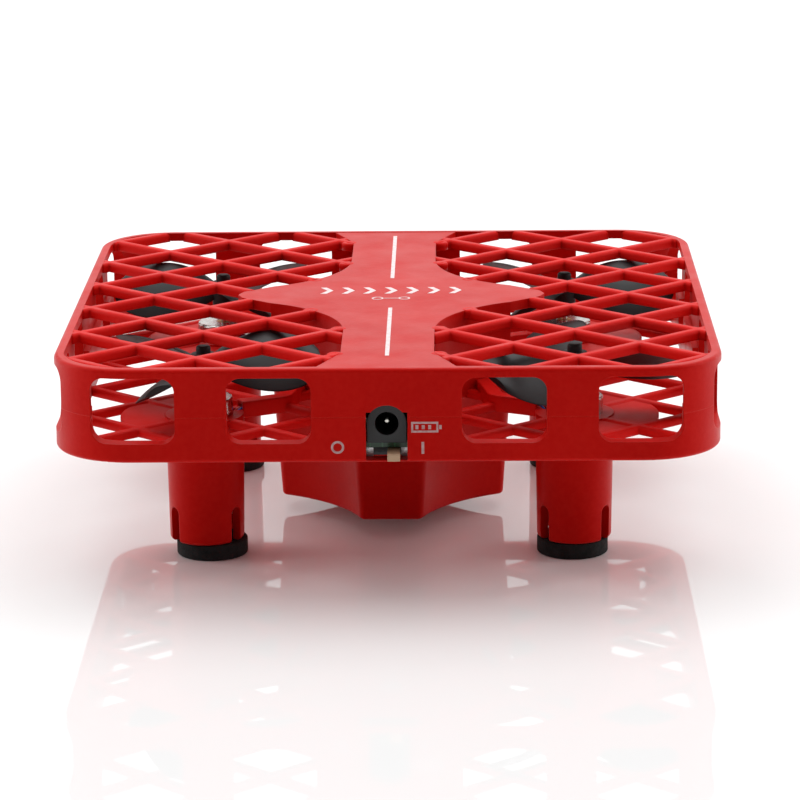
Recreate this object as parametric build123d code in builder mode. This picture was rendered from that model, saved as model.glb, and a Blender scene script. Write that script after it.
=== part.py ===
from build123d import *
import math
import os

# Palm-size quadrotor: a square cage of two lattice shells round four ducted rotors.
# Frame: +Z up, the front wall with the charging jack faces -Y, the floor under the feet is Z = 0.

# Cage
BODY = 80.0
CORNER_R = 9.5
HEIGHT = 28.2
CAGE_BOTTOM = 16.8
PARTING = 22.3
WALL = 1.2
LIP = 0.8
LIP_GAP = 0.02
LIP_RISE = 0.7
LIP_STEM_GAP = 0.2
EDGE_R = 0.5

# Windows in the four walls
WINDOW_W = 10.0
WINDOW_H = 8.0
WINDOW_R = 1.7
WINDOW_Z = 23.1
WINDOW_X = (13.9, 30.0)
CUT_DEPTH = 5.0

# Diagonal lattice of the top and the bottom
PITCH_X = 15.18
PITCH_Y = 13.5
RIB_W = 1.35
RIB_H = 1.2
RIB_BEVEL = 0.15
FLOOR_H = 1.0
POD_FLOOR_H = 0.8

# Rotors: (left or right, front or rear)
MOTOR_X = 22.8
MOTOR_Y = 20.3
CORNERS = {
    "front_left": (-1, -1),
    "front_right": (1, -1),
    "rear_left": (-1, 1),
    "rear_right": (1, 1),
}

# Central pod and top deck
POD_ARC_R = 17.2
POD_TIP_X = 15.2
STEM_HALF = 5.6
DECK_H = 1.3
DECK_DROP = 0.04
DECK_TIP_X = 19.6
DECK_TIP_BLUNT = (0.6, 1.7)
FLARE_HALF = 8.3
FLARE_START = 32.0

# Belly tub under the pod
BELLY_BOTTOM = 2.1
BELLY_ARC_R = 20.0
BELLY_TIP_X = 14.2
BELLY_NOSE_Y = 14.0
BELLY_DRAFT = 4.0
BELLY_WALL = 1.2
BELLY_CORNER_R = 0.9

# Motor legs and foot pads
LEG_TOP_R = 4.85
LEG_BOTTOM_R = 4.6
LEG_BOTTOM = 2.0
LEG_FOOT_R = 0.5
LEG_SLOT_W = 1.7
LEG_SLOT_H = 4.5
LEG_SLOT_ANGLE = 55
LEG_GROOVE_OVERRUN = 2.0
PAD_R = 4.4
PAD_EDGE_R = 0.25
PAD_SHIFT = {"front_left": 0.6, "front_right": -0.2, "rear_left": 0.6, "rear_right": -0.2}
SOCKET_PLATE_R = 10.4
SOCKET_PLATE_H = 0.8

# Coreless motor, 7 mm across and 16 mm long
CAN_R = 3.5
CAN_BOTTOM = 4.0
CAN_TOP = 20.0
CAN_WALL = 0.3
CAN_TOP_WALL = 0.4
CAN_EDGE_R = 0.3
END_CAP_H = 1.2
CAP_SOCKET_H = 0.5
SHAFT_R = 0.4
SHAFT_TOP = 25.2
BEARING_R = 1.0
BEARING_H = 1.4
RUNNING_GAP = 0.04
COIL_R = 2.95
COIL_WALL = 0.35
COIL_L = 12.4
COIL_FLOOR = 0.6
SHAFT_SOCKET_GAP = 0.1
MAGNET_R = 2.35
MAGNET_L = 12.6
MAGNET_GAP = 0.25

# Propeller
PROP_Z = 24.0
HUB_R = 1.5
HUB_BOTTOM = 21.2
HUB_SHOULDER = 25.4
HUB_TOP = 26.4
HUB_NUB_R = 0.9
HUB_EDGE_R = 0.3
BLADES = 3
BLADE_T = 0.75
BLADE_CAMBER = 0.07
# Radius, chord and pitch angle of the blade's sections
BLADE_STATIONS = [
    (1.0, 2.6, 40),
    (4.0, 7.0, 38),
    (7.2, 10.0, 34),
    (10.5, 10.4, 31),
    (13.0, 8.2, 28),
    (14.5, 4.0, 26),
]
# Azimuth at rest of each propeller's first blade, in degrees
PROP_AZIMUTH = {"front_left": 12, "front_right": 108, "rear_left": 52, "rear_right": 8}

# Circuit board, jack and switch
BOARD_BOTTOM = 18.1
BOARD_H = 0.8
BOARD_GAP = 0.4
BOARD_REAR_Y = 16.5
BOARD_FRONT_Y = 37.9
JACK_W = 4.7
JACK_L = 10.5
JACK_DEPTH = 8.0
JACK_Z = 21.26
JACK_HOLE_R = 1.4
JACK_PIN_R = 0.35
JACK_PIN_BACK = 1.2
JACK_PIN_EDGE_R = 0.2
CONTACT_W = 0.3
CONTACT_D = 0.5
CONTACT_H = 1.6
SIDE_CONTACT_Y = 6.0
JACK_OPENING_W = 4.9
JACK_OPENING_BOTTOM = 17.05
JACK_OPENING_SHOULDER = 22.9
JACK_OPENING_R = 2.5
SWITCH_W = 6.6
SWITCH_D = 2.8
SWITCH_H = 1.3
SWITCH_Y = -36.5
SWITCH_WALL = 0.2
SWITCH_BASE_D = 1.2
SWITCH_CLEARANCE = 0.2
LEVER_W = 1.5
LEVER_H = 0.9
LEVER_X = 0.82
LEVER_Z = 17.55
LEVER_TRAVEL = 1.6
LEVER_PROUD = 0.8
LEVER_GAP = 0.1
LEVER_ROOT = 0.5
SMALL_CHAMFER = 0.12

# Parts on the board: centre, then width, depth and height
CHIPS = {
    "controller_chip": ((0, -6), (5, 5, 0.9)),
    "radio_chip": ((0, 3), (4, 4, 0.8)),
    "gyro_chip": ((7, 0), (3, 3, 0.9)),
    "crystal": ((-4.5, 3), (2.5, 2, 0.7)),
    "barometer": ((-8, 0), (3, 2.5, 0.9)),
}
DRIVER_AT = (5.2, 5.5)
DRIVER_SIZE = (1.6, 2.9, 1.0)
CAPACITOR_BANK_Y = (-10.5, 8.5)
CAPACITOR_PITCH = (1.8, 2.2)
CAPACITOR_SIZE = (0.8, 1.3, 0.7)
LED_X = 11.5
LED_SIZE = (1.6, 0.8, 0.8)

# Battery
CELL = (6.0, 23.8, 12.4)
CELL_EDGE_R = 1.2
CELL_END_INSET = (2.6, 1.6)
CELL_END_T = 0.5
CELL_PAD = (4.6, 18.0)
CELL_LEAD_X = 0.9
CELL_LEAD_DROP = 4.0
CELL_LEAD_REACH = 3.0
CELL_BOTTOM = 4.2

# Wires, ducts and screws
WIRE_R = 0.22
ANTENNA_R = 0.25
ANTENNA_BEND_R = 8.0
# X, and distance behind the board's rear edge
ANTENNA_PLAN = [(2.6, -1.0), (2.9, 6.0), (2.7, 13.0), (1.6, 20.0)]
LEAD_SPACING = 0.3
LEAD_BEND_R = 1.35
LEAD_START_R = 2.0
LEAD_R = 3.95
LEAD_END = (9.4, 1.6)
GROOVE_R = 4.4
DUCT_TURN = (13.2, 15.3)
DUCT_END = (11.2, 5.2)
DUCT_W = 1.9
DUCT_INNER_W = 1.2
DUCT_WALL = 0.4
DUCT_TOP = 18.8
DUCT_SILL = 0.4
SCREW_Y = (-24.0, 27.0)
SCREW_R = 0.7
SCREW_L = 6.0
SCREW_HEAD_R = 1.25
SCREW_HEAD_H = 0.7
SCREW_EDGE_R = 0.3
SCREW_CROSS = (1.5, 0.35, 0.4)
POST_R = 1.8


def motor_centre(corner):
    side, end = CORNERS[corner]
    return (side * MOTOR_X, end * MOTOR_Y)


MOTOR_CENTRES = [motor_centre(corner) for corner in CORNERS]


def square_profile(inset):
    """Plan of the cage, moved inward."""
    with BuildSketch(mode=Mode.PRIVATE) as profile:
        RectangleRounded(BODY - 2 * inset, BODY - 2 * inset, CORNER_R - inset)
    return profile.sketch


def pod_profile(inset):
    """Plan of the central pod: a four-pointed star, and a stem to the front and rear walls."""
    with BuildSketch(mode=Mode.PRIVATE) as profile:
        Rectangle(2 * (POD_TIP_X - inset), 2 * MOTOR_Y)
        with Locations(*MOTOR_CENTRES):
            Circle(POD_ARC_R + inset, mode=Mode.SUBTRACT)
        Rectangle(2 * (STEM_HALF - inset), BODY - 2 * WALL)
    return profile.sketch


def deck_profile():
    """Plan of the top deck: the pod, its pointed side tips and the flares at both walls."""
    half_tip = MOTOR_Y - math.sqrt(POD_ARC_R**2 - (MOTOR_X - POD_TIP_X) ** 2)
    wall_y = BODY / 2 - WALL
    blunt_x, blunt_y = DECK_TIP_BLUNT
    with BuildSketch(mode=Mode.PRIVATE) as profile:
        add(pod_profile(0))
        for side in (-1, 1):
            with BuildLine():
                Polyline(
                    (side * POD_TIP_X, -half_tip),
                    (side * (DECK_TIP_X - blunt_x), -blunt_y),
                    (side * DECK_TIP_X, 0),
                    (side * (DECK_TIP_X - blunt_x), blunt_y),
                    (side * POD_TIP_X, half_tip),
                    close=True,
                )
            make_face()
            with BuildLine():
                Polyline(
                    (-STEM_HALF, side * FLARE_START),
                    (STEM_HALF, side * FLARE_START),
                    (FLARE_HALF, side * wall_y),
                    (-FLARE_HALF, side * wall_y),
                    close=True,
                )
            make_face()
    return profile.sketch


def belly_profile(inset):
    """Plan of the belly tub's bottom, moved inward by a wall thickness."""
    with BuildSketch(mode=Mode.PRIVATE) as profile:
        Rectangle(2 * (BELLY_TIP_X - inset), 2 * (BELLY_NOSE_Y - inset))
        with Locations(*MOTOR_CENTRES):
            Circle(BELLY_ARC_R + inset, mode=Mode.SUBTRACT)
        fillet(profile.vertices(), BELLY_CORNER_R if inset == 0 else BELLY_CORNER_R / 2)
    return profile.sketch


def lead_plan(corner):
    """Plan of the route of a motor's leads, from the motor's axis into the pod."""
    side, end = CORNERS[corner]
    x, y = motor_centre(corner)
    turn_x, turn_y = side * DUCT_TURN[0], end * DUCT_TURN[1]
    inward = Vector(turn_x - x, turn_y - y, 0).normalized()
    return Vector(x, y, 0), inward, Vector(turn_x, turn_y, 0), Vector(side * DUCT_END[0], end * DUCT_END[1], 0)


def duct_profile(corner, width):
    """Plan of the duct from a leg to the pod."""
    axis, inward, turn, end = lead_plan(corner)
    with BuildSketch(mode=Mode.PRIVATE) as profile:
        with BuildLine():
            FilletPolyline(axis + inward * CAN_R, turn, end, radius=LEAD_BEND_R)
        trace(line_width=width)
    return profile.sketch


def duct_solid(corner, width, bottom, top):
    with BuildPart(mode=Mode.PRIVATE) as duct:
        with BuildSketch(Plane.XY.offset(bottom)):
            add(duct_profile(corner, width))
        extrude(amount=top - bottom)
    return duct.part


def lattice(bottom, height):
    """Every diagonal rib of a lattice, untrimmed, with its top edges bevelled."""
    angle = math.atan2(PITCH_Y, PITCH_X)
    half = RIB_W / 2
    section = [
        (-half, 0),
        (half, 0),
        (half, height - 2.5 * RIB_BEVEL),
        (half - 0.6 * RIB_BEVEL, height - RIB_BEVEL),
        (half - 2 * RIB_BEVEL, height),
        (-half + 2 * RIB_BEVEL, height),
        (-half + 0.6 * RIB_BEVEL, height - RIB_BEVEL),
        (-half, height - 2.5 * RIB_BEVEL),
    ]
    with BuildPart(mode=Mode.PRIVATE) as ribs:
        for lean in (-1, 1):
            for step in range(-5, 6):
                along = Vector(math.cos(angle), lean * math.sin(angle), 0)
                across = Vector(-lean * math.sin(angle), math.cos(angle), 0)
                with BuildSketch(Plane(origin=(0, step * PITCH_Y, bottom), x_dir=across, z_dir=along)):
                    Polygon(*section, align=None)
                extrude(amount=BODY, both=True)
    return ribs.part


def wall_openings():
    """The windows in the four walls, and the opening for the jack and the switch."""
    with BuildPart(mode=Mode.PRIVATE) as window_row:
        with BuildSketch(Plane.XZ.offset(BODY / 2 - CUT_DEPTH)):
            with Locations(*[(side * x, WINDOW_Z) for side in (-1, 1) for x in WINDOW_X]):
                RectangleRounded(WINDOW_W, WINDOW_H, WINDOW_R)
        extrude(amount=CUT_DEPTH + 1)
    with BuildPart(mode=Mode.PRIVATE) as openings:
        for turn in range(4):
            add(window_row.part, rotation=(0, 0, 90 * turn))
        with BuildSketch(Plane.XZ.offset(BODY / 2 - CUT_DEPTH)):
            with Locations((0, (JACK_OPENING_BOTTOM + JACK_OPENING_SHOULDER) / 2)):
                Rectangle(JACK_OPENING_W, JACK_OPENING_SHOULDER - JACK_OPENING_BOTTOM)
            with Locations((0, JACK_Z)):
                Circle(JACK_OPENING_R)
        extrude(amount=CUT_DEPTH + 1)
    return openings.part


def save(builder, name):
    builder.part.label = name
    export_step(builder.part, f"parts/{name}.step")


os.makedirs("parts", exist_ok=True)
openings = wall_openings()
cage_profile = square_profile(0)
pod = pod_profile(0)
pod_inside = pod_profile(WALL)
deck = deck_profile()

# Upper shell: the upper half of the walls, the deck, the pod's skirt and the screw posts.
with BuildPart() as upper_shell:
    with BuildSketch(Plane.XY.offset(PARTING)):
        add(cage_profile)
    extrude(amount=HEIGHT - PARTING)
    fillet(upper_shell.faces().sort_by(Axis.Z)[-1].edges(), EDGE_R)
    with BuildSketch(Plane.XY.offset(PARTING)):
        add(square_profile(WALL))
    extrude(amount=HEIGHT - PARTING, mode=Mode.SUBTRACT)
    add(openings, mode=Mode.SUBTRACT)
    with BuildSketch(Plane.XY.offset(PARTING)):
        add(pod)
    extrude(amount=HEIGHT - DECK_DROP - PARTING)
    with BuildSketch(Plane.XY.offset(HEIGHT - DECK_H)):
        add(deck)
    extrude(amount=DECK_H - DECK_DROP)
    with BuildSketch(Plane.XY.offset(PARTING)):
        add(pod_inside)
    extrude(amount=HEIGHT - DECK_H - PARTING, mode=Mode.SUBTRACT)
    add(openings, mode=Mode.SUBTRACT)
    with BuildSketch(Plane.XY.offset(CAGE_BOTTOM + POD_FLOOR_H)):
        with Locations(*[(0, y) for y in SCREW_Y]):
            Circle(POST_R)
            Circle(SCREW_R, mode=Mode.SUBTRACT)
    extrude(amount=HEIGHT - DECK_H - CAGE_BOTTOM - POD_FLOOR_H)
save(upper_shell, "upper_shell")

# Upper grille: the ribs between the deck and the walls, left and right.
with BuildPart() as upper_grille:
    with BuildSketch(Plane.XY.offset(HEIGHT - RIB_H)):
        add(square_profile(WALL))
        add(deck, mode=Mode.SUBTRACT)
    extrude(amount=RIB_H)
    add(lattice(HEIGHT - RIB_H, RIB_H), mode=Mode.INTERSECT)
save(upper_grille, "upper_grille")

# Lower rim: the lower half of the walls, thicker inside, with a lip that locates the upper shell.
with BuildPart() as lower_rim:
    with BuildSketch(Plane.XY.offset(CAGE_BOTTOM)):
        add(cage_profile)
    extrude(amount=PARTING - CAGE_BOTTOM)
    fillet(lower_rim.faces().sort_by(Axis.Z)[0].edges(), EDGE_R)
    with BuildSketch(Plane.XY.offset(PARTING)):
        add(square_profile(WALL + LIP_GAP))
    extrude(amount=LIP_RISE)
    with BuildSketch(Plane.XY.offset(CAGE_BOTTOM)):
        add(square_profile(WALL + LIP))
    extrude(amount=PARTING + LIP_RISE - CAGE_BOTTOM, mode=Mode.SUBTRACT)
    with BuildSketch(Plane.XY.offset(PARTING)):
        Rectangle(2 * (STEM_HALF + LIP_STEM_GAP), BODY)
    extrude(amount=LIP_RISE, mode=Mode.SUBTRACT)
    add(openings, mode=Mode.SUBTRACT)
save(lower_rim, "lower_rim")

# Belly tub: the pod's lower wall and floor, and the star-shaped tub that holds the battery.
with BuildPart() as belly_tub:
    with BuildSketch(Plane.XY.offset(CAGE_BOTTOM)):
        add(pod)
        add(square_profile(WALL + LIP), mode=Mode.INTERSECT)
    extrude(amount=PARTING - CAGE_BOTTOM)
    with BuildSketch(Plane.XY.offset(CAGE_BOTTOM + POD_FLOOR_H)):
        add(pod_inside)
    extrude(amount=PARTING - CAGE_BOTTOM - POD_FLOOR_H, mode=Mode.SUBTRACT)
    with BuildSketch(Plane.XY.offset(BELLY_BOTTOM)):
        add(belly_profile(0))
    extrude(amount=CAGE_BOTTOM - BELLY_BOTTOM, taper=-BELLY_DRAFT)
    fillet(belly_tub.faces().sort_by(Axis.Z)[0].edges(), EDGE_R)
    with BuildSketch(Plane.XY.offset(BELLY_BOTTOM + BELLY_WALL)):
        add(belly_profile(BELLY_WALL))
    extrude(
        amount=CAGE_BOTTOM + POD_FLOOR_H - BELLY_BOTTOM - BELLY_WALL,
        taper=-BELLY_DRAFT,
        mode=Mode.SUBTRACT,
    )
    with BuildSketch(Plane.XY.offset(CAGE_BOTTOM)):
        with Locations(*[(0, y) for y in SCREW_Y]):
            Circle(SCREW_R + RUNNING_GAP)
        with Locations((0, SWITCH_Y)):
            Rectangle(SWITCH_W + 2 * SWITCH_CLEARANCE, SWITCH_D + 2 * SWITCH_CLEARANCE)
    extrude(amount=POD_FLOOR_H, mode=Mode.SUBTRACT)
    for corner in CORNERS:
        add(duct_solid(corner, DUCT_INNER_W, CAGE_BOTTOM + DUCT_SILL, DUCT_TOP - DUCT_WALL), mode=Mode.SUBTRACT)
    add(openings, mode=Mode.SUBTRACT)
save(belly_tub, "belly_tub")

# Lower grille: the ribs, a half-round plate outside each motor, and the ducts for the motor leads.
with BuildPart() as lower_grille:
    with BuildSketch(Plane.XY.offset(CAGE_BOTTOM)):
        add(square_profile(WALL + LIP))
    extrude(amount=FLOOR_H)
    add(lattice(CAGE_BOTTOM, FLOOR_H), mode=Mode.INTERSECT)
    with BuildSketch(Plane.XY.offset(CAGE_BOTTOM)):
        for x, y in MOTOR_CENTRES:
            with Locations((x, y)):
                Circle(SOCKET_PLATE_R)
        Rectangle(2 * MOTOR_X, BODY, mode=Mode.SUBTRACT)
    extrude(amount=SOCKET_PLATE_H)
    for corner in CORNERS:
        add(duct_solid(corner, DUCT_W, CAGE_BOTTOM, DUCT_TOP))
    for corner in CORNERS:
        add(duct_solid(corner, DUCT_INNER_W, CAGE_BOTTOM, DUCT_TOP - DUCT_WALL), mode=Mode.SUBTRACT)
    with BuildSketch(Plane.XY.offset(CAGE_BOTTOM)):
        add(pod)
        with Locations(*MOTOR_CENTRES):
            Circle(LEG_TOP_R)
    extrude(amount=DUCT_TOP - CAGE_BOTTOM, mode=Mode.SUBTRACT)
save(lower_grille, "lower_grille")

# Motor legs: tapered tubes that hold the motors, slotted at the foot, with a groove for the leads.
for corner in CORNERS:
    x, y = motor_centre(corner)
    inward = lead_plan(corner)[1]
    groove_angle = math.degrees(math.atan2(inward.Y, inward.X))
    with BuildPart() as leg:
        with BuildSketch(Plane(origin=(x, y, LEG_BOTTOM))):
            Circle(LEG_BOTTOM_R)
        with BuildSketch(Plane(origin=(x, y, CAGE_BOTTOM + FLOOR_H))):
            Circle(LEG_TOP_R)
        loft()
        fillet(leg.faces().sort_by(Axis.Z)[0].edges(), LEG_FOOT_R)
        with BuildSketch(Plane(origin=(x, y, LEG_BOTTOM))):
            Circle(CAN_R)
        extrude(amount=CAGE_BOTTOM + FLOOR_H - LEG_BOTTOM, mode=Mode.SUBTRACT)
        for turn_angle in (LEG_SLOT_ANGLE, -LEG_SLOT_ANGLE):
            slot_dir = Vector(0, 1, 0).rotate(Axis.Z, turn_angle)
            slot_plane = Plane(origin=(x, y, LEG_BOTTOM), x_dir=slot_dir.rotate(Axis.Z, 90), z_dir=slot_dir)
            with BuildSketch(slot_plane):
                with Locations((0, (LEG_SLOT_H - LEG_SLOT_W / 2 - 1) / 2)):
                    Rectangle(LEG_SLOT_W, LEG_SLOT_H - LEG_SLOT_W / 2 + 1)
                with Locations((0, LEG_SLOT_H - LEG_SLOT_W / 2)):
                    Circle(LEG_SLOT_W / 2)
            extrude(amount=LEG_TOP_R + 1, both=True, mode=Mode.SUBTRACT)
        with BuildSketch(Plane(origin=(x, y, LEG_BOTTOM)).rotated((0, 0, groove_angle))):
            with Locations((GROOVE_R / 2, 0)):
                Rectangle(GROOVE_R, DUCT_INNER_W)
        extrude(amount=CAGE_BOTTOM + FLOOR_H - LEG_BOTTOM, mode=Mode.SUBTRACT)
        with BuildSketch(Plane(origin=(x, y, CAGE_BOTTOM - 1)).rotated((0, 0, groove_angle))):
            with Locations(((LEG_TOP_R + LEG_GROOVE_OVERRUN) / 2, 0)):
                Rectangle(LEG_TOP_R + LEG_GROOVE_OVERRUN, DUCT_INNER_W)
        extrude(amount=FLOOR_H + 1, mode=Mode.SUBTRACT)
    save(leg, f"motor_leg_{corner}")

# Foot pads: soft discs stuck under the legs, a little off centre.
for corner in CORNERS:
    x, y = motor_centre(corner)
    with BuildPart() as pad:
        with BuildSketch(Plane(origin=(x + PAD_SHIFT[corner], y, 0))):
            Circle(PAD_R)
        extrude(amount=LEG_BOTTOM)
        fillet(pad.edges().filter_by(GeomType.CIRCLE), PAD_EDGE_R)
    save(pad, f"foot_pad_{corner}")

# Motors: a steel can closed at the top round a bearing, a plastic end cap, a fixed magnet,
# and the coil and shaft that turn with the propeller.
for corner in CORNERS:
    x, y = motor_centre(corner)
    with BuildPart() as can:
        with BuildSketch(Plane(origin=(x, y, CAN_BOTTOM))):
            Circle(CAN_R)
        extrude(amount=CAN_TOP - CAN_BOTTOM)
        fillet(can.faces().sort_by(Axis.Z)[-1].edges(), CAN_EDGE_R)
        with BuildSketch(Plane(origin=(x, y, CAN_BOTTOM))):
            Circle(CAN_R - CAN_WALL)
        extrude(amount=CAN_TOP - CAN_BOTTOM - CAN_TOP_WALL, mode=Mode.SUBTRACT)
        with BuildSketch(Plane(origin=(x, y, CAN_TOP - CAN_TOP_WALL))):
            Circle(BEARING_R)
        extrude(amount=CAN_TOP_WALL, mode=Mode.SUBTRACT)
    save(can, f"motor_can_{corner}")

    with BuildPart() as cap:
        with BuildSketch(Plane(origin=(x, y, CAN_BOTTOM))):
            Circle(CAN_R - CAN_WALL)
        extrude(amount=END_CAP_H)
        with BuildSketch(Plane(origin=(x, y, CAN_BOTTOM + END_CAP_H - CAP_SOCKET_H))):
            Circle(SHAFT_R + RUNNING_GAP)
        extrude(amount=CAP_SOCKET_H, mode=Mode.SUBTRACT)
    save(cap, f"motor_end_cap_{corner}")

    with BuildPart() as coil:
        with BuildSketch(Plane(origin=(x, y, CAN_BOTTOM + END_CAP_H + COIL_FLOOR))):
            Circle(COIL_R)
            Circle(COIL_R - COIL_WALL, mode=Mode.SUBTRACT)
        extrude(amount=COIL_L)
        with BuildSketch(Plane(origin=(x, y, CAN_BOTTOM + END_CAP_H + COIL_FLOOR))):
            Circle(COIL_R)
            Circle(SHAFT_R, mode=Mode.SUBTRACT)
        extrude(amount=COIL_FLOOR)
    save(coil, f"motor_coil_{corner}")

    with BuildPart() as shaft:
        shaft_bottom = CAN_BOTTOM + END_CAP_H - CAP_SOCKET_H + SHAFT_SOCKET_GAP
        with BuildSketch(Plane(origin=(x, y, shaft_bottom))):
            Circle(SHAFT_R)
        extrude(amount=SHAFT_TOP - shaft_bottom)
    save(shaft, f"motor_shaft_{corner}")

with BuildPart() as motor_magnets:
    with BuildSketch(Plane.XY.offset(CAN_TOP - CAN_TOP_WALL - MAGNET_L)):
        with Locations(*MOTOR_CENTRES):
            Circle(MAGNET_R)
            Circle(SHAFT_R + MAGNET_GAP, mode=Mode.SUBTRACT)
    extrude(amount=MAGNET_L - BEARING_H + CAN_TOP_WALL)
save(motor_magnets, "motor_magnets")

with BuildPart() as motor_bearings:
    with BuildSketch(Plane.XY.offset(CAN_TOP - BEARING_H)):
        with Locations(*MOTOR_CENTRES):
            Circle(BEARING_R)
            Circle(SHAFT_R + RUNNING_GAP, mode=Mode.SUBTRACT)
    extrude(amount=BEARING_H)
save(motor_bearings, "motor_bearings")


def blade_section(radius, chord, pitch, spin):
    """A cambered section of a blade that points along +X, with its leading edge raised."""
    lean = math.radians(pitch)
    plane = Plane(
        origin=(radius, 0, PROP_Z),
        x_dir=(0, spin * math.cos(lean), math.sin(lean)),
        z_dir=(1, 0, 0),
    )
    rise = spin * BLADE_CAMBER * chord
    with BuildSketch(plane, mode=Mode.PRIVATE) as section:
        with BuildLine():
            ThreePointArc((-chord / 2, 0), (0, rise + BLADE_T / 2), (chord / 2, 0))
            ThreePointArc((chord / 2, 0), (0, rise - BLADE_T / 2), (-chord / 2, 0))
        make_face()
    return section.sketch


# Propellers: paddle blades on a stepped hub. Neighbours turn opposite ways.
for corner, (side, end) in CORNERS.items():
    x, y = motor_centre(corner)
    spin = 1 if side == end else -1
    with BuildPart(mode=Mode.PRIVATE) as blade:
        sections = [
            blade_section(radius, chord, pitch, spin).face() for radius, chord, pitch in BLADE_STATIONS
        ]
        loft(sections=sections)
    with BuildPart() as propeller:
        with BuildSketch(Plane(origin=(x, y, HUB_BOTTOM))):
            Circle(HUB_R)
        extrude(amount=HUB_SHOULDER - HUB_BOTTOM)
        with BuildSketch(Plane(origin=(x, y, HUB_SHOULDER))):
            Circle(HUB_NUB_R)
        extrude(amount=HUB_TOP - HUB_SHOULDER)
        fillet(propeller.faces().sort_by(Axis.Z)[-1].edges(), HUB_EDGE_R)
        for number in range(BLADES):
            turned = blade.part.rotate(Axis.Z, PROP_AZIMUTH[corner] + number * 360 / BLADES)
            add(turned.translate((x, y, 0)))
        with BuildSketch(Plane(origin=(x, y, HUB_BOTTOM))):
            Circle(SHAFT_R)
        extrude(amount=SHAFT_TOP - HUB_BOTTOM, mode=Mode.SUBTRACT)
    save(propeller, f"propeller_{corner}")

# Circuit board in the pod, with holes round the screw posts.
with BuildPart() as main_board:
    with BuildSketch(Plane.XY.offset(BOARD_BOTTOM)):
        add(pod_profile(WALL + BOARD_GAP))
        with Locations((0, (BOARD_REAR_Y - BOARD_FRONT_Y) / 2)):
            Rectangle(BODY, BOARD_REAR_Y + BOARD_FRONT_Y, mode=Mode.INTERSECT)
        with Locations((0, SCREW_Y[0])):
            Circle(POST_R + BOARD_GAP, mode=Mode.SUBTRACT)
    extrude(amount=BOARD_H)
save(main_board, "main_board")

board_top = BOARD_BOTTOM + BOARD_H
for name, ((x, y), (width, depth, height)) in CHIPS.items():
    with BuildPart() as chip:
        with BuildSketch(Plane(origin=(x, y, board_top))):
            Rectangle(width, depth)
        extrude(amount=height)
        chamfer(chip.faces().sort_by(Axis.Z)[-1].edges(), SMALL_CHAMFER)
    save(chip, name)

with BuildPart() as motor_drivers:
    with BuildSketch(Plane.XY.offset(board_top)):
        with Locations(*[(side * DRIVER_AT[0], end * DRIVER_AT[1]) for side, end in CORNERS.values()]):
            Rectangle(*DRIVER_SIZE[:2])
    extrude(amount=DRIVER_SIZE[2])
save(motor_drivers, "motor_drivers")

with BuildPart() as capacitors:
    with BuildSketch(Plane.XY.offset(board_top)):
        for bank_y in CAPACITOR_BANK_Y:
            with Locations((0, bank_y)):
                with GridLocations(*CAPACITOR_PITCH, 3, 2):
                    Rectangle(*CAPACITOR_SIZE[:2])
    extrude(amount=CAPACITOR_SIZE[2])
save(capacitors, "capacitors")

with BuildPart() as status_leds:
    with BuildSketch(Plane.XY.offset(board_top)):
        with Locations((-LED_X, 0), (LED_X, 0)):
            Rectangle(*LED_SIZE[:2])
    extrude(amount=LED_SIZE[2])
save(status_leds, "status_leds")

# Charging jack: a barrel with a centre pin, arched like its opening.
jack_front = -BODY / 2 + WALL
with BuildPart() as dc_jack_housing:
    with BuildSketch(Plane.XZ.offset(-jack_front)):
        with Locations((0, (board_top + JACK_Z) / 2)):
            Rectangle(JACK_W, JACK_Z - board_top)
        with Locations((0, JACK_Z)):
            Circle(JACK_W / 2)
    extrude(amount=-JACK_L)
    with BuildSketch(Plane.XZ.offset(-jack_front)):
        with Locations((0, JACK_Z)):
            Circle(JACK_HOLE_R)
    extrude(amount=-JACK_DEPTH, mode=Mode.SUBTRACT)
save(dc_jack_housing, "dc_jack_housing")

with BuildPart() as dc_jack_pin:
    with BuildSketch(Plane.XZ.offset(-jack_front - JACK_PIN_BACK)):
        with Locations((0, JACK_Z)):
            Circle(JACK_PIN_R)
    extrude(amount=-(JACK_DEPTH - JACK_PIN_BACK))
    fillet(dc_jack_pin.faces().sort_by(Axis.Y)[0].edges(), JACK_PIN_EDGE_R)
save(dc_jack_pin, "dc_jack_pin")

with BuildPart() as dc_jack_contacts:
    with BuildSketch(Plane.XY.offset(board_top)):
        rear_contact = (0, jack_front + JACK_L + CONTACT_D / 2)
        side_contact = (-(JACK_W + CONTACT_W) / 2, jack_front + SIDE_CONTACT_Y)
        with Locations(rear_contact, side_contact):
            Rectangle(CONTACT_W, CONTACT_D)
    extrude(amount=CONTACT_H)
save(dc_jack_contacts, "dc_jack_contacts")

# Slide switch under the board: a metal frame over a plastic base, and the lever that slides.
with BuildPart() as switch_frame:
    with BuildSketch(Plane.XY.offset(BOARD_BOTTOM - SWITCH_H)):
        with Locations((0, SWITCH_Y)):
            Rectangle(SWITCH_W, SWITCH_D)
    extrude(amount=SWITCH_H)
    with BuildSketch(Plane.XY.offset(BOARD_BOTTOM - SWITCH_H)):
        with Locations((0, SWITCH_Y)):
            Rectangle(SWITCH_W - 2 * SWITCH_WALL, SWITCH_D - 2 * SWITCH_WALL)
    extrude(amount=SWITCH_H, mode=Mode.SUBTRACT)
    with BuildSketch(Plane.XZ.offset(-SWITCH_Y)):
        with Locations((LEVER_X - LEVER_TRAVEL / 2, LEVER_Z)):
            Rectangle(LEVER_W + LEVER_TRAVEL + 2 * LEVER_GAP, LEVER_H + 2 * LEVER_GAP)
    extrude(amount=SWITCH_D, mode=Mode.SUBTRACT)
save(switch_frame, "switch_frame")

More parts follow.
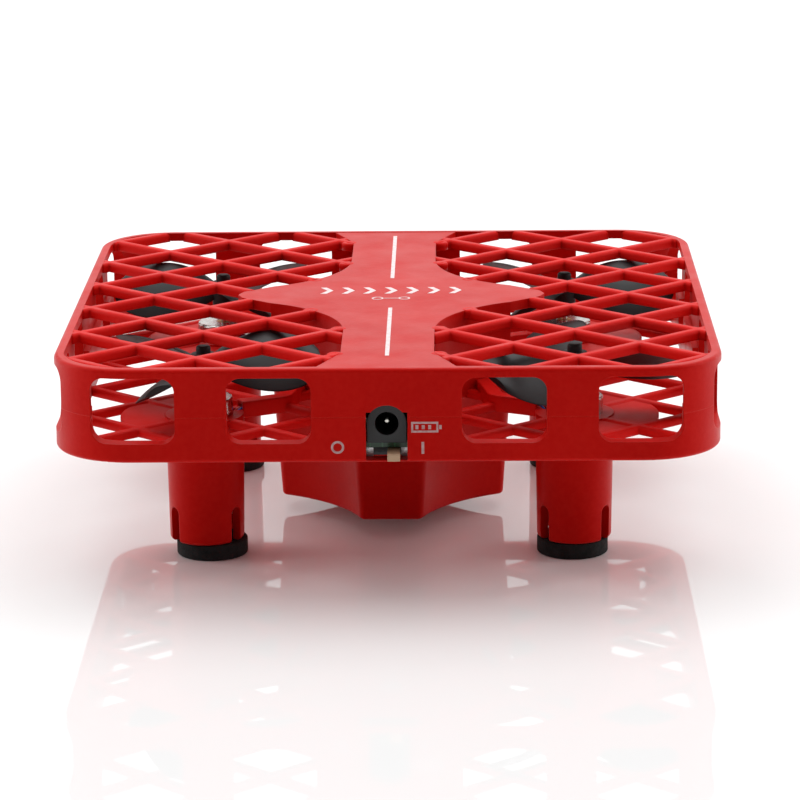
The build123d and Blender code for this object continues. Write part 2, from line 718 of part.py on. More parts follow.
with BuildPart() as switch_base:
    with BuildSketch(Plane.XY.offset(BOARD_BOTTOM - SWITCH_H)):
        with Locations((0, SWITCH_Y + SWITCH_D / 2 - SWITCH_WALL - SWITCH_BASE_D / 2)):
            Rectangle(SWITCH_W - 2 * SWITCH_WALL, SWITCH_BASE_D)
    extrude(amount=SWITCH_H)
save(switch_base, "switch_base")

with BuildPart() as switch_lever:
    lever_back = SWITCH_Y - SWITCH_D / 2 + LEVER_ROOT
    lever_front = -BODY / 2 - LEVER_PROUD
    with BuildSketch(Plane.XZ.offset(-lever_back)):
        with Locations((LEVER_X, LEVER_Z)):
            Rectangle(LEVER_W, LEVER_H)
    extrude(amount=lever_back - lever_front)
    chamfer(switch_lever.faces().sort_by(Axis.Y)[0].edges(), SMALL_CHAMFER)
save(switch_lever, "switch_lever")

# Battery: a flat pouch cell on edge, its folded end, a foam pad under it and two leads.
with BuildPart() as battery_cell:
    with BuildSketch(Plane.XY.offset(CELL_BOTTOM)):
        RectangleRounded(CELL[0], CELL[1], CELL_EDGE_R)
    extrude(amount=CELL[2])
save(battery_cell, "battery_cell")

with BuildPart() as battery_wrap:
    with BuildSketch(Plane.XZ.offset(-CELL[1] / 2)):
        with Locations((0, CELL_BOTTOM + CELL[2] / 2)):
            Rectangle(CELL[0] - CELL_END_INSET[0], CELL[2] - CELL_END_INSET[1])
    extrude(amount=-CELL_END_T)
save(battery_wrap, "battery_wrap")

with BuildPart() as battery_pad:
    with BuildSketch(Plane.XY.offset(BELLY_BOTTOM + BELLY_WALL)):
        Rectangle(*CELL_PAD)
    extrude(amount=CELL_BOTTOM - BELLY_BOTTOM - BELLY_WALL)
save(battery_pad, "battery_pad")

# Screws from below into the posts.
cross_l, cross_w, cross_depth = SCREW_CROSS
with BuildPart() as shell_screws:
    with BuildSketch(Plane.XY.offset(CAGE_BOTTOM)):
        with Locations(*[(0, y) for y in SCREW_Y]):
            Circle(SCREW_R)
    extrude(amount=SCREW_L)
    with BuildSketch(Plane.XY.offset(CAGE_BOTTOM - SCREW_HEAD_H)):
        with Locations(*[(0, y) for y in SCREW_Y]):
            Circle(SCREW_HEAD_R)
    extrude(amount=SCREW_HEAD_H)
    fillet(shell_screws.faces().group_by(Axis.Z)[0].edges(), SCREW_EDGE_R)
    with BuildSketch(Plane.XY.offset(CAGE_BOTTOM - SCREW_HEAD_H)):
        with Locations(*[(0, y) for y in SCREW_Y]):
            Rectangle(cross_l, cross_w)
            Rectangle(cross_w, cross_l)
    extrude(amount=cross_depth, mode=Mode.SUBTRACT)
save(shell_screws, "shell_screws")


def offset_route(plan, shift):
    """Move a plan route sideways, keeping its runs parallel to the old ones."""
    normals = []
    for start, stop in zip(plan, plan[1:]):
        along = (stop - start).normalized()
        normals.append(Vector(-along.Y, along.X, 0))
    moved = [plan[0] + normals[0] * shift]
    for point, before, after in zip(plan[1:-1], normals, normals[1:]):
        moved.append(point + (before + after) * (shift / (1 + before.dot(after))))
    return moved + [plan[-1] + normals[-1] * shift]


# Motor leads: out of the end cap, up the groove in the leg and through the duct to the board.
lead_z = BOARD_BOTTOM - WIRE_R
for name, shift in {"motor_leads_red": LEAD_SPACING, "motor_leads_blue": -LEAD_SPACING}.items():
    with BuildPart() as leads:
        for corner, (side, end) in CORNERS.items():
            axis, inward, turn, duct_end = lead_plan(corner)
            pad_point = Vector(side * LEAD_END[0], end * LEAD_END[1], 0)
            start, groove, turn, duct_end, pad_point = offset_route(
                [axis + inward * LEAD_START_R, axis + inward * LEAD_R, turn, duct_end, pad_point], shift
            )
            low = Vector(0, 0, CAN_BOTTOM - WIRE_R)
            high = Vector(0, 0, lead_z)
            with BuildLine() as route:
                FilletPolyline(
                    start + low,
                    groove + low,
                    groove + high,
                    turn + high,
                    duct_end + high,
                    pad_point + high,
                    radius=LEAD_BEND_R,
                )
            with BuildSketch(Plane(origin=route.line @ 0, z_dir=route.line % 0)):
                Circle(WIRE_R)
            sweep()
    print(name, "bend radius", LEAD_BEND_R)
    save(leads, name)

# Battery leads: up from the cell's end and forward to the underside of the board.
lead_y = CELL[1] / 2 + CELL_END_T + WIRE_R
for name, side in {"battery_lead_red": 1, "battery_lead_black": -1}.items():
    with BuildPart() as lead:
        with BuildLine() as route:
            FilletPolyline(
                (side * CELL_LEAD_X, lead_y, CELL_BOTTOM + CELL[2] - CELL_LEAD_DROP),
                (side * CELL_LEAD_X, lead_y, lead_z),
                (side * CELL_LEAD_X, CELL[1] / 2 - CELL_LEAD_REACH, lead_z),
                radius=LEAD_BEND_R,
            )
        with BuildSketch(Plane(origin=route.line @ 0, z_dir=route.line % 0)):
            Circle(WIRE_R)
        sweep()
    save(lead, name)

# Antenna: a thin wire from the board back along the rear stem.
with BuildPart() as antenna_wire:
    with BuildLine() as route:
        FilletPolyline(
            *[(x, BOARD_REAR_Y + back, board_top + ANTENNA_R) for x, back in ANTENNA_PLAN],
            radius=ANTENNA_BEND_R,
        )
    with BuildSketch(Plane(origin=route.line @ 0, z_dir=route.line % 0)):
        Circle(ANTENNA_R)
    sweep()
save(antenna_wire, "antenna_wire")
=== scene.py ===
"""Studio scene for the palm drone.

Finishes for the CAD parts, printed marks, rib roots, table top, light and camera.
"""

import math

import bmesh
import bpy
from mathutils import Matrix, Vector


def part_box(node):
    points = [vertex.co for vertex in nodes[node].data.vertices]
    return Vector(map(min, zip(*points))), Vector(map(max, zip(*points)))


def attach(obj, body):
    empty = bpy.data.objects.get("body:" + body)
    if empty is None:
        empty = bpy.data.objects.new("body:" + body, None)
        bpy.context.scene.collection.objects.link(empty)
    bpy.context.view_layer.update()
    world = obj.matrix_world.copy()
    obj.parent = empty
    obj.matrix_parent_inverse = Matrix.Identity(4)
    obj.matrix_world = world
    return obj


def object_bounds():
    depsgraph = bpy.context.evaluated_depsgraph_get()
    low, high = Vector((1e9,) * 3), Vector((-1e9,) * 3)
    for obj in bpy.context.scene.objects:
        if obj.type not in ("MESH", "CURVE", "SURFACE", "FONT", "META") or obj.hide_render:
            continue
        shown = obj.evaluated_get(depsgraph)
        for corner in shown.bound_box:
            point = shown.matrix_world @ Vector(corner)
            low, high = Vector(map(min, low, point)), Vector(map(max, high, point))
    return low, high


MM = 0.001

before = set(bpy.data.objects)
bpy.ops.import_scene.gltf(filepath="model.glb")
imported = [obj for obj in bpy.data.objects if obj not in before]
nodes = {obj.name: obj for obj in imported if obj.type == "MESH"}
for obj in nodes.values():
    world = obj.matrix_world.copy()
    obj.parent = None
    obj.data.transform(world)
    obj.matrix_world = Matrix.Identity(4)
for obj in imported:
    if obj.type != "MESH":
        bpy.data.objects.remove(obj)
cad_low, cad_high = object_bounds()


# ---------------------------------------------------------------- materials

EDGE_SAMPLES = 6


class Finish:
    """One procedural material, built up a layer at a time on a Principled shader."""

    def __init__(self, name, colour, roughness, metallic=0.0, **sockets):
        self.material = bpy.data.materials.new(name)
        self.material.use_nodes = True
        self.tree = self.material.node_tree
        self.shader = self.tree.nodes["Principled BSDF"]
        self.colour = (*colour, 1.0)
        self.shader.inputs["Base Color"].default_value = self.colour
        self.shader.inputs["Roughness"].default_value = roughness
        self.shader.inputs["Metallic"].default_value = metallic
        for socket, value in sockets.items():
            self.shader.inputs[socket.replace("_", " ")].default_value = value
        self.material.diffuse_color = self.colour
        self.place = self.add("ShaderNodeTexCoord").outputs["Object"]
        self.normal = None

    def add(self, kind, **settings):
        node = self.tree.nodes.new(kind)
        for setting, value in settings.items():
            setattr(node, setting, value)
        return node

    def link(self, output, node_input):
        self.tree.links.new(output, node_input)

    def noise(self, size, detail=3.0, stretch=(1, 1, 1)):
        """A noise with features about size metres across, drawn out along each axis by stretch."""
        mapping = self.add("ShaderNodeMapping")
        mapping.inputs["Scale"].default_value = [1 / s for s in stretch]
        self.link(self.place, mapping.inputs["Vector"])
        node = self.add("ShaderNodeTexNoise")
        node.inputs["Scale"].default_value = 1 / size
        node.inputs["Detail"].default_value = detail
        self.link(mapping.outputs["Vector"], node.inputs["Vector"])
        return node.outputs["Fac"]

    def cells(self, size):
        """Round cells about size metres across, for foam and cast surfaces."""
        node = self.add("ShaderNodeTexVoronoi")
        node.inputs["Scale"].default_value = 1 / size
        self.link(self.place, node.inputs["Vector"])
        return node.outputs["Distance"]

    def bands(self, size, axis="Z", wobble=0.6):
        """Fine bands about size metres apart along an axis: turned metal, windings, folds."""
        node = self.add("ShaderNodeTexWave", wave_type="BANDS", bands_direction=axis)
        node.inputs["Scale"].default_value = 1 / (2 * size)
        node.inputs["Distortion"].default_value = wobble
        node.inputs["Detail"].default_value = 2.0
        self.link(self.place, node.inputs["Vector"])
        return node.outputs["Fac"]

    def spread(self, factor, low, high, start=0.3, end=0.7):
        """factor from start to end, stretched to run from low to high."""
        node = self.add("ShaderNodeMapRange")
        for socket, value in (
            ("From Min", start),
            ("From Max", end),
            ("To Min", low),
            ("To Max", high),
        ):
            node.inputs[socket].default_value = value
        self.link(factor, node.inputs["Value"])
        return node.outputs["Result"]

    def tint(self, factor, colour, share=1.0, start=0.35, end=0.65):
        """Mixes another colour in where factor is high, at most by share."""
        node = self.add("ShaderNodeMix", data_type="RGBA")
        self.link(self.spread(factor, 0.0, share, start, end), node.inputs["Factor"])
        base = self.shader.inputs["Base Color"]
        below = base.links[0].from_socket if base.is_linked else None
        if below is None:
            node.inputs["A"].default_value = self.colour
        else:
            self.link(below, node.inputs["A"])
        node.inputs["B"].default_value = (*colour, 1.0)
        self.link(node.outputs["Result"], base)
        return self

    def gloss(self, factor, low, high):
        """Lets the roughness wander between two values."""
        self.link(self.spread(factor, low, high), self.shader.inputs["Roughness"])
        return self

    def soften(self, radius):
        """Rounds the look of every sharp edge by radius metres."""
        node = self.add("ShaderNodeBevel", samples=EDGE_SAMPLES)
        node.inputs["Radius"].default_value = radius
        self.normal = node.outputs["Normal"]
        self.link(self.normal, self.shader.inputs["Normal"])
        return self

    def bump(self, factor, height, strength=1.0):
        """Raises the surface by up to height metres where factor is high."""
        node = self.add("ShaderNodeBump")
        node.inputs["Strength"].default_value = strength
        node.inputs["Distance"].default_value = height
        self.link(factor, node.inputs["Height"])
        if self.normal is not None:
            self.link(self.normal, node.inputs["Normal"])
        self.normal = node.outputs["Normal"]
        self.link(self.normal, self.shader.inputs["Normal"])
        return self

    def paint_edge_highlight(self, colour, radius, share):
        """Mixes a paler colour in along sharp edges: a painted highlight where the edges catch the
        light.
        """
        bevel = self.add("ShaderNodeBevel", samples=EDGE_SAMPLES)
        bevel.inputs["Radius"].default_value = radius
        flat = self.add("ShaderNodeNewGeometry").outputs["Normal"]
        dot = self.add("ShaderNodeVectorMath", operation="DOT_PRODUCT")
        self.link(bevel.outputs["Normal"], dot.inputs[0])
        self.link(flat, dot.inputs[1])
        # Painted highlight: strongest where the rounded normal turns away from the flat one
        edge = self.spread(dot.outputs["Value"], 1.0, 0.0, 0.8, 1.0)
        return self.tint(edge, colour, share, 0.0, 1.0)


def moulded(name, colour, roughness, grain=0.00025, height=0.00001, **sockets):
    """A moulded plastic: slow colour and gloss changes, a fine spark-eroded grain, soft edges."""
    paler = [min(1.0, c * 1.12 + 0.004) for c in colour]
    finish = Finish(name, colour, roughness, **sockets)
    finish.tint(finish.noise(0.012, detail=4), paler, share=0.6)
    finish.gloss(finish.noise(0.006, detail=5), low=roughness * 0.85, high=roughness * 1.2)
    finish.soften(0.00012)
    finish.bump(finish.noise(grain, detail=2), height=height)
    return finish


def machined(name, colour, roughness, axis="Z", pitch=0.00012):
    """A bare metal: fine tool bands along an axis, faint staining, soft edges."""
    stain = [c * 0.82 for c in colour]
    finish = Finish(name, colour, roughness, metallic=1.0)
    finish.tint(finish.noise(0.0015, detail=5), stain, share=0.7)
    finish.gloss(finish.noise(0.0008, detail=5), low=roughness * 0.7, high=roughness * 1.5)
    finish.soften(0.00008)
    finish.bump(finish.bands(pitch, axis), height=0.000002)
    return finish


SHELL_RED = (0.58, 0.006, 0.004)
SHELL_DEEP = (0.51, 0.004, 0.003)
# Paler red, used for a fine random speckle and for the painted highlight along the edges
SHELL_SPECKLE_AND_EDGE_HIGHLIGHT = (0.74, 0.030, 0.020)
SHELL_SHEEN = (1.0, 0.20, 0.18, 1.0)
# Painted light: the ribs' red is the wall red made lighter, as if the ribs were more lit
RIB_RED_PAINTED_LIGHTER = (0.70, 0.009, 0.007)
RIB_DEEP_PAINTED_LIGHTER = (0.62, 0.006, 0.005)


def shell_finish(name, colour, deep, edge, roughness, specular):
    """Red ABS: a satin moulding with a faint haze.

    Its edges look rounded by edge metres and carry a paler painted highlight.
    """
    finish = Finish(
        name, colour, roughness, Specular_Tint=SHELL_SHEEN, Specular_IOR_Level=specular
    )
    finish.tint(finish.noise(0.015, detail=4), deep, share=0.8)
    finish.tint(finish.noise(0.0006, detail=3), SHELL_SPECKLE_AND_EDGE_HIGHLIGHT, share=0.12)
    # Painted highlight: paler red along every sharp edge of the shell
    finish.paint_edge_highlight(SHELL_SPECKLE_AND_EDGE_HIGHLIGHT, radius=0.0002, share=0.5)
    finish.gloss(finish.noise(0.005, detail=5), low=roughness * 0.85, high=roughness * 1.2)
    finish.soften(edge)
    finish.bump(finish.noise(0.00035, detail=3), height=0.000012)
    finish.bump(finish.noise(0.004, detail=2), height=0.00004, strength=0.2)
    return finish


def propeller_finish():
    """Black blades: a satin moulding with paler streaks that lie flat."""
    finish = moulded(
        "blade_nylon", (0.010, 0.010, 0.011), 0.50, 0.0002, 0.000006, Specular_IOR_Level=0.3
    )
    streaks = finish.noise(0.0025, detail=3, stretch=(2.5, 2.5, 0.4))
    finish.tint(streaks, (0.020, 0.020, 0.022), share=0.5)
    return finish


def foam_finish(name, colour, cell):
    """Closed-cell foam: small open pores and no gloss."""
    finish = Finish(name, colour, 0.92, Specular_IOR_Level=0.3)
    finish.tint(finish.noise(0.0012, detail=5), [c * 1.9 + 0.004 for c in colour], share=0.8)
    finish.bump(finish.cells(cell), height=0.00006)
    finish.bump(finish.noise(cell / 2, detail=3), height=0.00002)
    return finish


def board_finish():
    """Green solder mask with paler copper tracks under it."""
    finish = Finish("solder_mask", (0.012, 0.10, 0.040), 0.32, Coat_Weight=0.3)
    tracks = finish.add("ShaderNodeTexBrick", offset=0.37, squash=0.6, squash_frequency=3)
    tracks.inputs["Scale"].default_value = 340.0
    tracks.inputs["Mortar Size"].default_value = 0.035
    tracks.inputs["Color1"].default_value = (0, 0, 0, 1)
    tracks.inputs["Color2"].default_value = (0, 0, 0, 1)
    tracks.inputs["Mortar"].default_value = (1, 1, 1, 1)
    finish.link(finish.place, tracks.inputs["Vector"])
    finish.tint(tracks.outputs["Color"], (0.05, 0.24, 0.10), share=0.8)
    finish.tint(finish.bands(0.0001, "Z", wobble=0.2), (0.20, 0.22, 0.10), share=0.15)
    finish.gloss(finish.noise(0.003, detail=4), low=0.26, high=0.42)
    finish.soften(0.00008)
    finish.bump(tracks.outputs["Color"], height=0.000015)
    return finish


def coil_finish():
    """Enamelled copper wire wound round the rotor."""
    finish = Finish("copper_winding", (0.62, 0.24, 0.10), 0.28, 0.9, Coat_Weight=0.4)
    windings = finish.bands(0.00018, "Z", wobble=1.5)
    finish.tint(windings, (0.34, 0.10, 0.04), share=0.7)
    finish.gloss(finish.noise(0.0006, detail=4), low=0.2, high=0.4)
    finish.bump(windings, height=0.00003)
    return finish


def foil_finish():
    """Crimped aluminium pouch of a lithium cell."""
    finish = machined("pouch_foil", (0.78, 0.79, 0.80), 0.34, "X", 0.0008)
    finish.bump(finish.noise(0.0022, detail=4), height=0.00005)
    return finish


def tape_finish():
    """Amber polyimide tape, glossy, with the lines of its backing."""
    finish = moulded("polyimide_tape", (0.72, 0.42, 0.06), 0.2, 0.0004, 0.000008, Coat_Weight=0.5)
    finish.tint(finish.bands(0.0009, "Y", wobble=2.0), (0.85, 0.55, 0.12), share=0.35)
    return finish


def led_finish():
    """A clear lens over a pale phosphor."""
    finish = Finish("led_lens", (0.90, 0.88, 0.74), 0.12, Coat_Weight=0.8)
    finish.tint(finish.cells(0.0007), (0.98, 0.96, 0.90), share=0.9, start=0.1, end=0.5)
    finish.gloss(finish.noise(0.0005, detail=3), low=0.08, high=0.18)
    finish.soften(0.00006)
    finish.bump(finish.noise(0.0003, detail=2), height=0.000004)
    return finish


FINISHES = {
    "shell_red": shell_finish("red_abs", SHELL_RED, SHELL_DEEP, 0.00016, 0.36, 0.15),
    "prop_black": propeller_finish(),
    "pad_rubber": foam_finish("foot_foam", (0.010, 0.010, 0.010), 0.0003),
    "foam_grey": foam_finish("cell_foam", (0.11, 0.11, 0.115), 0.0004),
    "motor_steel": machined("motor_can_steel", (0.66, 0.65, 0.63), 0.20),
    "cap_white": moulded("end_cap_nylon", (0.80, 0.78, 0.72), 0.5),
    "coil_copper": coil_finish(),
    "magnet_grey": foam_finish("sintered_magnet", (0.10, 0.10, 0.11), 0.00015),
    "bearing_brass": machined("sintered_brass", (0.72, 0.50, 0.22), 0.38),
    "shaft_steel": machined("ground_shaft", (0.78, 0.78, 0.77), 0.14, "Z", 0.00005),
    "board_green": board_finish(),
    "chip_black": moulded("chip_resin", (0.016, 0.016, 0.017), 0.55, 0.0002, 0.000012),
    "crystal_steel": machined("crystal_can", (0.70, 0.70, 0.67), 0.28, "X"),
    "capacitor_tan": moulded("capacitor_ceramic", (0.42, 0.28, 0.15), 0.45, 0.0002, 0.00001),
    "led_clear": led_finish(),
    "jack_black": moulded("jack_nylon", (0.014, 0.014, 0.015), 0.4, 0.0003, 0.00001),
    "contact_metal": machined("plated_contact", (0.80, 0.77, 0.70), 0.18, "Y"),
    "switch_metal": machined("switch_frame_plate", (0.60, 0.60, 0.60), 0.32, "X"),
    "lever_tan": moulded("lever_nylon", (0.55, 0.36, 0.22), 0.5, 0.0002, 0.00001),
    "cell_foil": foil_finish(),
    "tape_yellow": tape_finish(),
    "wire_red": moulded("wire_sleeve_red", (0.62, 0.02, 0.02), 0.4, 0.0002, 0.000006),
    "wire_blue": moulded("wire_sleeve_blue", (0.03, 0.08, 0.46), 0.4, 0.0002, 0.000006),
    "wire_black": moulded("wire_sleeve_black", (0.016, 0.016, 0.016), 0.4, 0.0002, 0.000006),
    "screw_steel": machined("zinc_plate", (0.62, 0.62, 0.60), 0.3),
}

# The ribs are the same red ABS as the walls, given a lighter red as painted light so they look
# brighter than the walls
rib_finish = shell_finish("red_abs_ribs", RIB_RED_PAINTED_LIGHTER, RIB_DEEP_PAINTED_LIGHTER, 0.00045, 0.42, 0.10)

for node in nodes.values():
    for material_slot in node.material_slots:
        material_slot.material = FINISHES[material_slot.material.name.split(".")[0]].material
for name in ("upper_grille", "lower_grille"):
    nodes[name].material_slots[0].material = rib_finish.material


# ------------------------------------------------------------- printed marks

INK_THICKNESS = 0.05 * MM
INK_SUNK = 0.02 * MM

deck_ink = Finish("deck_ink", (0.84, 0.72, 0.72), 0.45)
deck_ink.tint(deck_ink.noise(0.0006, detail=5), (0.72, 0.30, 0.30), share=0.5, start=0.45, end=0.7)
deck_ink.bump(deck_ink.noise(0.0002, detail=2), height=0.000006)

# Painted shade: the same pale ink as on the deck, painted darker on the front wall
shaded_wall_ink = Finish("shaded_wall_ink", (0.62, 0.40, 0.40), 0.55)
shaded_wall_ink.tint(shaded_wall_ink.noise(0.0005, detail=5), (0.40, 0.12, 0.12), share=0.6, start=0.45, end=0.7)
shaded_wall_ink.bump(shaded_wall_ink.noise(0.0002, detail=2), height=0.000006)


def printed(name, loops, ink, to_frame, body="airframe"):
    """Ink laid on a face, where to_frame carries its plane. Each loop is a closed outline in mm."""
    mesh = bmesh.new()
    for loop in loops:
        bottom = [mesh.verts.new((u * MM, v * MM, -INK_SUNK)) for u, v in loop]
        face = mesh.faces.new(bottom)
        raised = bmesh.ops.extrude_face_region(mesh, geom=[face])["geom"]
        moved = [item for item in raised if isinstance(item, bmesh.types.BMVert)]
        bmesh.ops.translate(mesh, verts=moved, vec=(0, 0, INK_THICKNESS))
    bmesh.ops.recalc_face_normals(mesh, faces=mesh.faces)
    mesh.transform(to_frame)
    data = bpy.data.meshes.new(name)
    mesh.to_mesh(data)
    mesh.free()
    data.materials.append(ink.material)
    piece = bpy.data.objects.new(name, data)
    bpy.context.scene.collection.objects.link(piece)
    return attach(piece, body)


def bar(u0, v0, u1, v1):
    """A rectangle from one corner to the other."""
    return [(u0, v0), (u1, v0), (u1, v1), (u0, v1)]


def arc(centre_u, centre_v, radius, start, end, steps):
    """Points along an arc, with its angles in degrees."""
    angles = [math.radians(start + (end - start) * i / steps) for i in range(steps + 1)]
    return [(centre_u + radius * math.cos(a), centre_v + radius * math.sin(a)) for a in angles]


def ring(centre_u, centre_v, radius, width, parts=2, steps=12):
    """A ring as closed loops that meet end to end."""
    loops = []
    for i in range(parts):
        start, end = 360 * i / parts, 360 * (i + 1) / parts
        outer = arc(centre_u, centre_v, radius, start, end, steps)
        inner = arc(centre_u, centre_v, radius - width, end, start, steps)
        loops.append(outer + inner)
    return loops


def frame_loops(u0, v0, u1, v1, width):
    """The four sides of a hollow rectangle."""
    return [
        bar(u0, v0, u1, v0 + width),
        bar(u0, v1 - width, u1, v1),
        bar(u0, v0 + width, u0 + width, v1 - width),
        bar(u1 - width, v0 + width, u1, v1 - width),
    ]


# The wall's lip stands this much over the deck face that the ink and the rib roots sit on
DECK_DROP = 0.04 * MM
deck_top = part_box("upper_shell")[1].z - DECK_DROP
wall_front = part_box("upper_shell")[0].y
ON_DECK = Matrix.Translation((0, 0, deck_top))
ON_FRONT = Matrix.Translation((0, wall_front, 0)) @ Matrix.Rotation(math.radians(90), 4, "X")

STRIPE = 0.5
REAR_STRIPE = (9.3, 36.1)
FRONT_STRIPE = (-33.35, -7.9)
for name, (near, far) in (
    ("deck_stripe_rear", REAR_STRIPE),
    ("deck_stripe_front", FRONT_STRIPE),
):
    printed(name, [bar(-STRIPE / 2, near, STRIPE / 2, far)], deck_ink, ON_DECK)

CHEVRONS = 7
CHEVRON_PITCH = 2.75
CHEVRON_DEPTH = 3.6
CHEVRON_BAR = 0.75
CHEVRON_POINT = 0.9
CHEVRON_FOOT = 0.2
ROW_MIDDLE = 0.5
row_left = ROW_MIDDLE - CHEVRON_PITCH * CHEVRONS / 2
chevrons = []
for i in range(CHEVRONS):
    left = row_left + CHEVRON_PITCH * i
    middle = CHEVRON_DEPTH / 2
    chevrons.append(
        [
            (left, CHEVRON_FOOT),
            (left + CHEVRON_BAR, CHEVRON_FOOT),
            (left + CHEVRON_BAR + CHEVRON_POINT, CHEVRON_FOOT + middle),
            (left + CHEVRON_BAR, CHEVRON_FOOT + CHEVRON_DEPTH),
            (left, CHEVRON_FOOT + CHEVRON_DEPTH),
            (left + CHEVRON_POINT, CHEVRON_FOOT + middle),
        ]
    )
printed("deck_chevrons", chevrons, deck_ink, ON_DECK)

ROTOR_MARK = 0.75
ROTOR_LINE = 0.2
ROTOR_MARK_AT = (1.7, -2.5)
LINK_REACH = ROTOR_MARK_AT[0] - ROTOR_MARK
LINK_LOW = ROTOR_MARK_AT[1] - ROTOR_LINE / 2
rotor_marks = []
for side in (-1, 1):
    rotor_marks += ring(side * ROTOR_MARK_AT[0], ROTOR_MARK_AT[1], ROTOR_MARK, ROTOR_LINE)
rotor_marks.append(bar(-LINK_REACH, LINK_LOW, LINK_REACH, LINK_LOW + ROTOR_LINE))
printed("deck_rotor_mark", rotor_marks, deck_ink, ON_DECK)

POWER_MARK = 0.78
POWER_LINE = 0.26
POWER_OFF_AT = (-5.8, 18.68)
POWER_ON = (4.1, 17.85, 4.42, 19.3)
printed("power_off_ring", ring(*POWER_OFF_AT, POWER_MARK, POWER_LINE), shaded_wall_ink, ON_FRONT)
printed("power_on_bar", [bar(*POWER_ON)], shaded_wall_ink, ON_FRONT)

CHARGE_CASE = (2.9, 20.45, 6.1, 21.75)
CHARGE_LINE = 0.24
CHARGE_KNOB = (6.2, 6.5)
CHARGE_HEIGHTS = (20.85, 21.35)
CHARGE_BARS = 3
CHARGE_BAR_LEFT = 3.4
CHARGE_BAR_PITCH = 0.75
CHARGE_BAR_WIDTH = 0.35
low, high = CHARGE_HEIGHTS
charge_marks = frame_loops(*CHARGE_CASE, CHARGE_LINE)
charge_marks.append(bar(CHARGE_KNOB[0], low, CHARGE_KNOB[1], high))
for i in range(CHARGE_BARS):
    left = CHARGE_BAR_LEFT + CHARGE_BAR_PITCH * i
    charge_marks.append(bar(left, low, left + CHARGE_BAR_WIDTH, high))
printed("charge_mark", charge_marks, shaded_wall_ink, ON_FRONT)


# ------------------------------------------------------- rib roots on the deck

ROOT_SEGMENTS = 28
# Radius and height over the deck, in mm, from the dimple in the middle down and back to the axis
ROOT_PROFILE = [
    (0.0, -0.05),
    (0.4, -0.05),
    (0.58, 0.02),
    (0.85, 0.02),
    (1.02, -0.06),
    (1.1, -0.23),
    (1.1, -1.0),
    (0.0, -1.0),
]
DECK_EDGE_X = 6.15
ROOTS_ON_STEM = (18.9, 32.1)
ROOT_ON_ARC = (9.95, 8.75)


def rib_root(name, x, y):
    """A small round boss with a dimpled top, where two ribs meet the deck."""
    mesh = bmesh.new()
    place = Vector((x * MM, y * MM, deck_top))
    line = [mesh.verts.new(place + Vector((r, 0, z)) * MM) for r, z in ROOT_PROFILE]
    edges = [mesh.edges.new(pair) for pair in zip(line, line[1:])]
    bmesh.ops.spin(
        mesh,
        geom=line + edges,
        cent=place,
        axis=(0, 0, 1),
        angle=math.tau,
        steps=ROOT_SEGMENTS,
    )
    bmesh.ops.remove_doubles(mesh, verts=mesh.verts, dist=0.001 * MM)
    bmesh.ops.recalc_face_normals(mesh, faces=mesh.faces)
    data = bpy.data.meshes.new(name)
    mesh.to_mesh(data)
    mesh.free()
    for polygon in data.polygons:
        polygon.use_smooth = True
    data.materials.append(rib_finish.material)
    piece = bpy.data.objects.new(name, data)
    bpy.context.scene.collection.objects.link(piece)
    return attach(piece, "airframe")


for side in (-1, 1):
    for end in (-1, 1):
        label = ("left" if side < 0 else "right") + ("_front" if end < 0 else "_rear")
        for number, along in enumerate(ROOTS_ON_STEM, 1):
            rib_root(f"rib_root_{label}_{number}", side * DECK_EDGE_X, end * along)
        rib_root(f"rib_root_{label}_arc", side * ROOT_ON_ARC[0], end * ROOT_ON_ARC[1])


# ------------------------------------------------------------ floor and light


def stage_floor(radius=2.0, segments=96):
    """A round glossy table top, level with the lowest point of the drone."""
    mesh = bmesh.new()
    bmesh.ops.create_circle(mesh, cap_ends=True, segments=segments, radius=radius)
    data = bpy.data.meshes.new("table_top")
    mesh.to_mesh(data)
    mesh.free()
    finish = Finish("white_laminate", (0.93, 0.93, 0.93), 0.02, IOR=1.45)
    finish.tint(finish.noise(0.12, 3), (0.90, 0.90, 0.90), 0.3)
    finish.gloss(finish.noise(0.03, 4), 0.012, 0.03)
    data.materials.append(finish.material)
    floor = bpy.data.objects.new("table_top", data)
    floor.location.z = cad_low.z
    bpy.context.scene.collection.objects.link(floor)


def softbox(name, place, target, width, depth, power):
    """A rectangular area light at place, aimed at target, both in metres."""
    data = bpy.data.lights.new(name, "AREA")
    data.shape = "RECTANGLE"
    data.size, data.size_y = width, depth
    data.energy = power
    light = bpy.data.objects.new(name, data)
    light.location = place
    aim = Vector(target) - Vector(place)
    light.rotation_euler = aim.to_track_quat("-Z", "Y").to_euler()
    bpy.context.scene.collection.objects.link(light)


FRONT_LEVEL = 0.12
BACK_LEVEL = 1.05
# How far a direction points backwards where the dim room ends and the white paper begins
FRONT_EDGE = -0.75
BACK_EDGE = 0.25
# Place, width and depth in metres, and power in watts
SOFTBOXES = {
    "softbox_top": ((0.0, 0.25, 0.75), 0.9, 0.7, 3.7),
    "softbox_left": ((-0.7, 0.05, 0.28), 0.45, 0.45, 1.2),
    "softbox_right": ((0.7, 0.05, 0.28), 0.45, 0.45, 1.2),
}


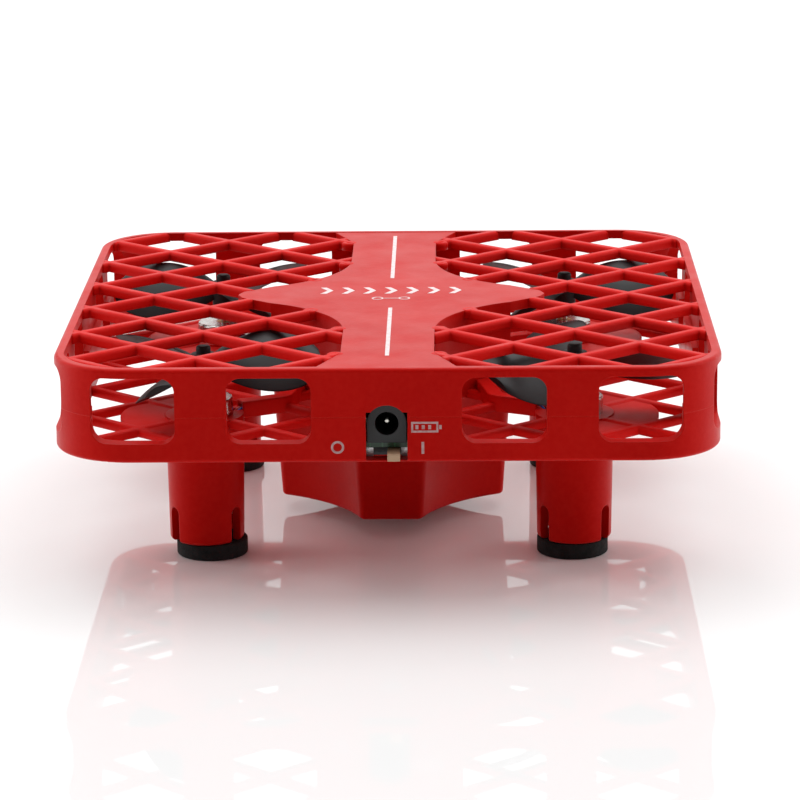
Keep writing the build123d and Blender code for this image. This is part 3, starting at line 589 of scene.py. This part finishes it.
def studio_world():
    """White paper behind the drone, falling to a dim room in front of it."""
    world = bpy.data.worlds.new("studio")
    world.use_nodes = True
    tree = world.node_tree
    direction = tree.nodes.new("ShaderNodeTexCoord").outputs["Generated"]
    parts = tree.nodes.new("ShaderNodeSeparateXYZ")
    tree.links.new(direction, parts.inputs["Vector"])
    level = tree.nodes.new("ShaderNodeMapRange")
    level.interpolation_type = "SMOOTHSTEP"
    level.inputs["From Min"].default_value = FRONT_EDGE
    level.inputs["From Max"].default_value = BACK_EDGE
    level.inputs["To Min"].default_value = FRONT_LEVEL
    level.inputs["To Max"].default_value = BACK_LEVEL
    tree.links.new(parts.outputs["Y"], level.inputs["Value"])
    background = tree.nodes["Background"]
    background.inputs["Color"].default_value = (1.0, 1.0, 1.0, 1.0)
    tree.links.new(level.outputs["Result"], background.inputs["Strength"])
    bpy.context.scene.world = world


stage_floor()
studio_world()
middle_of_drone = (cad_low + cad_high) / 2
for name, (place, width, depth, power) in SOFTBOXES.items():
    softbox(name, place, middle_of_drone, width, depth, power)


# --------------------------------------------------------------------- camera

CAMERA_AZIMUTH = math.radians(0.882)
CAMERA_ELEVATION = math.radians(14.417)
CAMERA_ROLL = math.radians(-0.512)
CAMERA_DISTANCE = 459.57 * MM
CAMERA_AIM = Vector((1.05, -3.38, 15.0)) * MM
SENSOR = 36.0
LENS = 161.44

camera_data = bpy.data.cameras.new("camera")
camera_data.sensor_width = SENSOR
camera_data.lens = LENS
camera_data.clip_start = 0.01
camera_data.clip_end = 20.0
camera = bpy.data.objects.new("camera", camera_data)
back = Vector(
    (
        math.sin(CAMERA_AZIMUTH) * math.cos(CAMERA_ELEVATION),
        -math.cos(CAMERA_AZIMUTH) * math.cos(CAMERA_ELEVATION),
        math.sin(CAMERA_ELEVATION),
    )
)
camera.rotation_mode = "QUATERNION"
level_view = (-back).to_track_quat("-Z", "Y")
camera.rotation_quaternion = level_view @ Matrix.Rotation(CAMERA_ROLL, 4, "Z").to_quaternion()
camera.location = CAMERA_AIM + back * CAMERA_DISTANCE
bpy.context.scene.collection.objects.link(camera)
bpy.context.scene.camera = camera

scene = bpy.context.scene
scene.view_settings.view_transform = "Standard"
scene.view_settings.look = "None"
